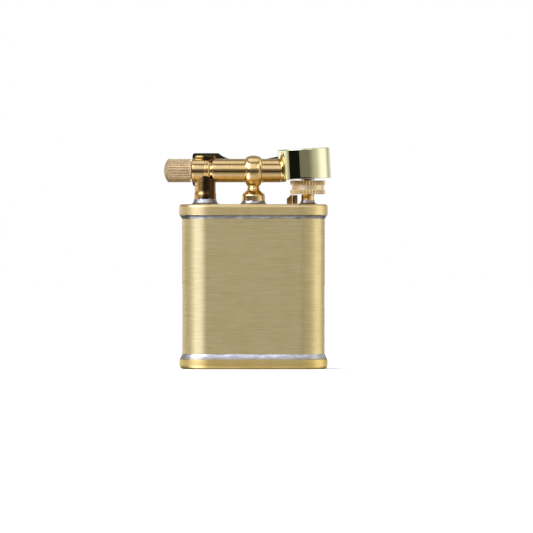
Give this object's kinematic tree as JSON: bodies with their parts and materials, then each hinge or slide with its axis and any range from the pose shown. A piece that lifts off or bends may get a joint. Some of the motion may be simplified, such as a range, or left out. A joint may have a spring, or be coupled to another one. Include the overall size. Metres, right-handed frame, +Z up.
{
  "type": "lift-arm pocket lighter",
  "caption": "Slim brass pocket gas lighter with a round-ended tank, a horizontal flint barrel on posts, and a lift arm whose cap covers the spark wheel and burner.",
  "frame": {"origin": "centre of the tank's flat underside", "axes": "+Z up from the base to the flint barrel, +X towards the snuffer cap and burner, +Y to the back, where the arm is"},
  "size_m": [0.0431, 0.0147, 0.0571],
  "materials": {
    "brushed_brass": "fine horizontal brushing, satin",
    "turned_brass": "lathe-turned and lightly polished",
    "knurled_brass": "straight knurl, matte",
    "polished_gold": "mirror polish, pale gold",
    "solder": "dull, lumpy soft solder",
    "spring_steel": "bright drawn wire and strip",
    "file_steel": "dark hardened steel, file cut",
    "flint_grey": "dull pressed ferrocerium",
    "seal_rubber": "moulded nitrile",
    "filter_foam": "open-cell foam"
  },
  "bodies": {
    "tank": {"tank_shell": "brushed_brass", "top_plate": "brushed_brass", "base_plate": "brushed_brass", "solder_seam_top": "solder", "solder_seam_base": "solder", "pivot_post": "turned_brass", "solder_foot_pivot": "solder", "ball_post": "turned_brass", "solder_foot_ball": "solder", "flint_barrel": "turned_brass", "wheel_fork": "turned_brass", "wheel_axle": "spring_steel", "pivot_boss": "turned_brass", "pivot_screw": "turned_brass", "pivot_washer": "spring_steel", "arm_spring": "spring_steel", "spring_rivet": "turned_brass", "valve_body": "turned_brass", "valve_gasket": "seal_rubber", "valve_filter": "filter_foam", "valve_spring": "spring_steel", "ring_clip": "spring_steel", "solder_foot_burner": "solder", "ring_bracket": "turned_brass", "ring_leaf": "spring_steel", "flint": "flint_grey", "fill_valve_body": "turned_brass", "fill_valve_tube": "turned_brass", "fill_valve_collar": "turned_brass", "fill_valve_spring": "spring_steel"},
    "arm": {"snuffer_arm": "polished_gold", "snuffer_cap": "polished_gold", "snuffer_plug": "turned_brass", "snuffer_pad": "seal_rubber", "cap_rivet_outer": "turned_brass", "cap_rivet_inner": "turned_brass"},
    "flame_ring": {"flame_ring": "turned_brass"},
    "burner": {"burner_nozzle": "turned_brass", "valve_pad": "seal_rubber", "nozzle_seal": "seal_rubber"},
    "spark_wheel": {"spark_wheel": "file_steel", "thumb_wheel_front": "knurled_brass", "thumb_wheel_back": "knurled_brass"},
    "flint_train": {"flint_spring": "spring_steel", "flint_pusher": "turned_brass"},
    "flint_screw": {"flint_screw": "knurled_brass"},
    "fill_stem": {"fill_valve_stem": "turned_brass", "fill_valve_seal": "seal_rubber"}
  },
  "joints": [
    {"name": "arm_lift", "type": "hinge", "parent": "tank", "child": "arm", "pos_m": [-0.0123, 0.00445, 0.0513], "axis": [0, -1, 0], "range_deg": [0, 88], "deforming": ["arm_spring"]},
    {"name": "burner_rise", "type": "slide", "parent": "tank", "child": "burner", "axis": [0, 0, 1], "range_m": [0, 0.0008], "deforming": ["valve_spring"]},
    {"name": "flame_ring_turn", "type": "hinge", "parent": "tank", "child": "flame_ring", "pos_m": [0.014, 0, 0.04508], "axis": [0, 0, 1], "range_deg": [-120, 120]},
    {"name": "spark_wheel_spin", "type": "hinge", "parent": "tank", "child": "spark_wheel", "pos_m": [0.011, 0, 0.0524], "axis": [0, 1, 0], "continuous": true},
    {"name": "flint_screw_travel", "type": "slide", "parent": "tank", "child": "flint_train", "axis": [-1, 0, 0], "range_m": [0, 0.0036]},
    {"name": "flint_screw_turn", "type": "hinge", "parent": "flint_train", "child": "flint_screw", "pos_m": [-0.0161, 0, 0.05117], "axis": [-1, 0, 0], "range_deg": [0, 2161]},
    {"name": "fill_valve_push", "type": "slide", "parent": "tank", "child": "fill_stem", "axis": [0, 0, 1], "range_m": [0, 0.0012], "stiffness_N_per_m": 400, "springref_m": -0.0005, "deforming": ["fill_valve_spring"]}
  ],
  "couplings": [
    {"joint": "burner_rise", "follows": "arm_lift", "m_per_rad": 0.00052},
    {"joint": "flint_screw_turn", "follows": "flint_screw_travel", "rad_per_m": 10472}
  ]
}
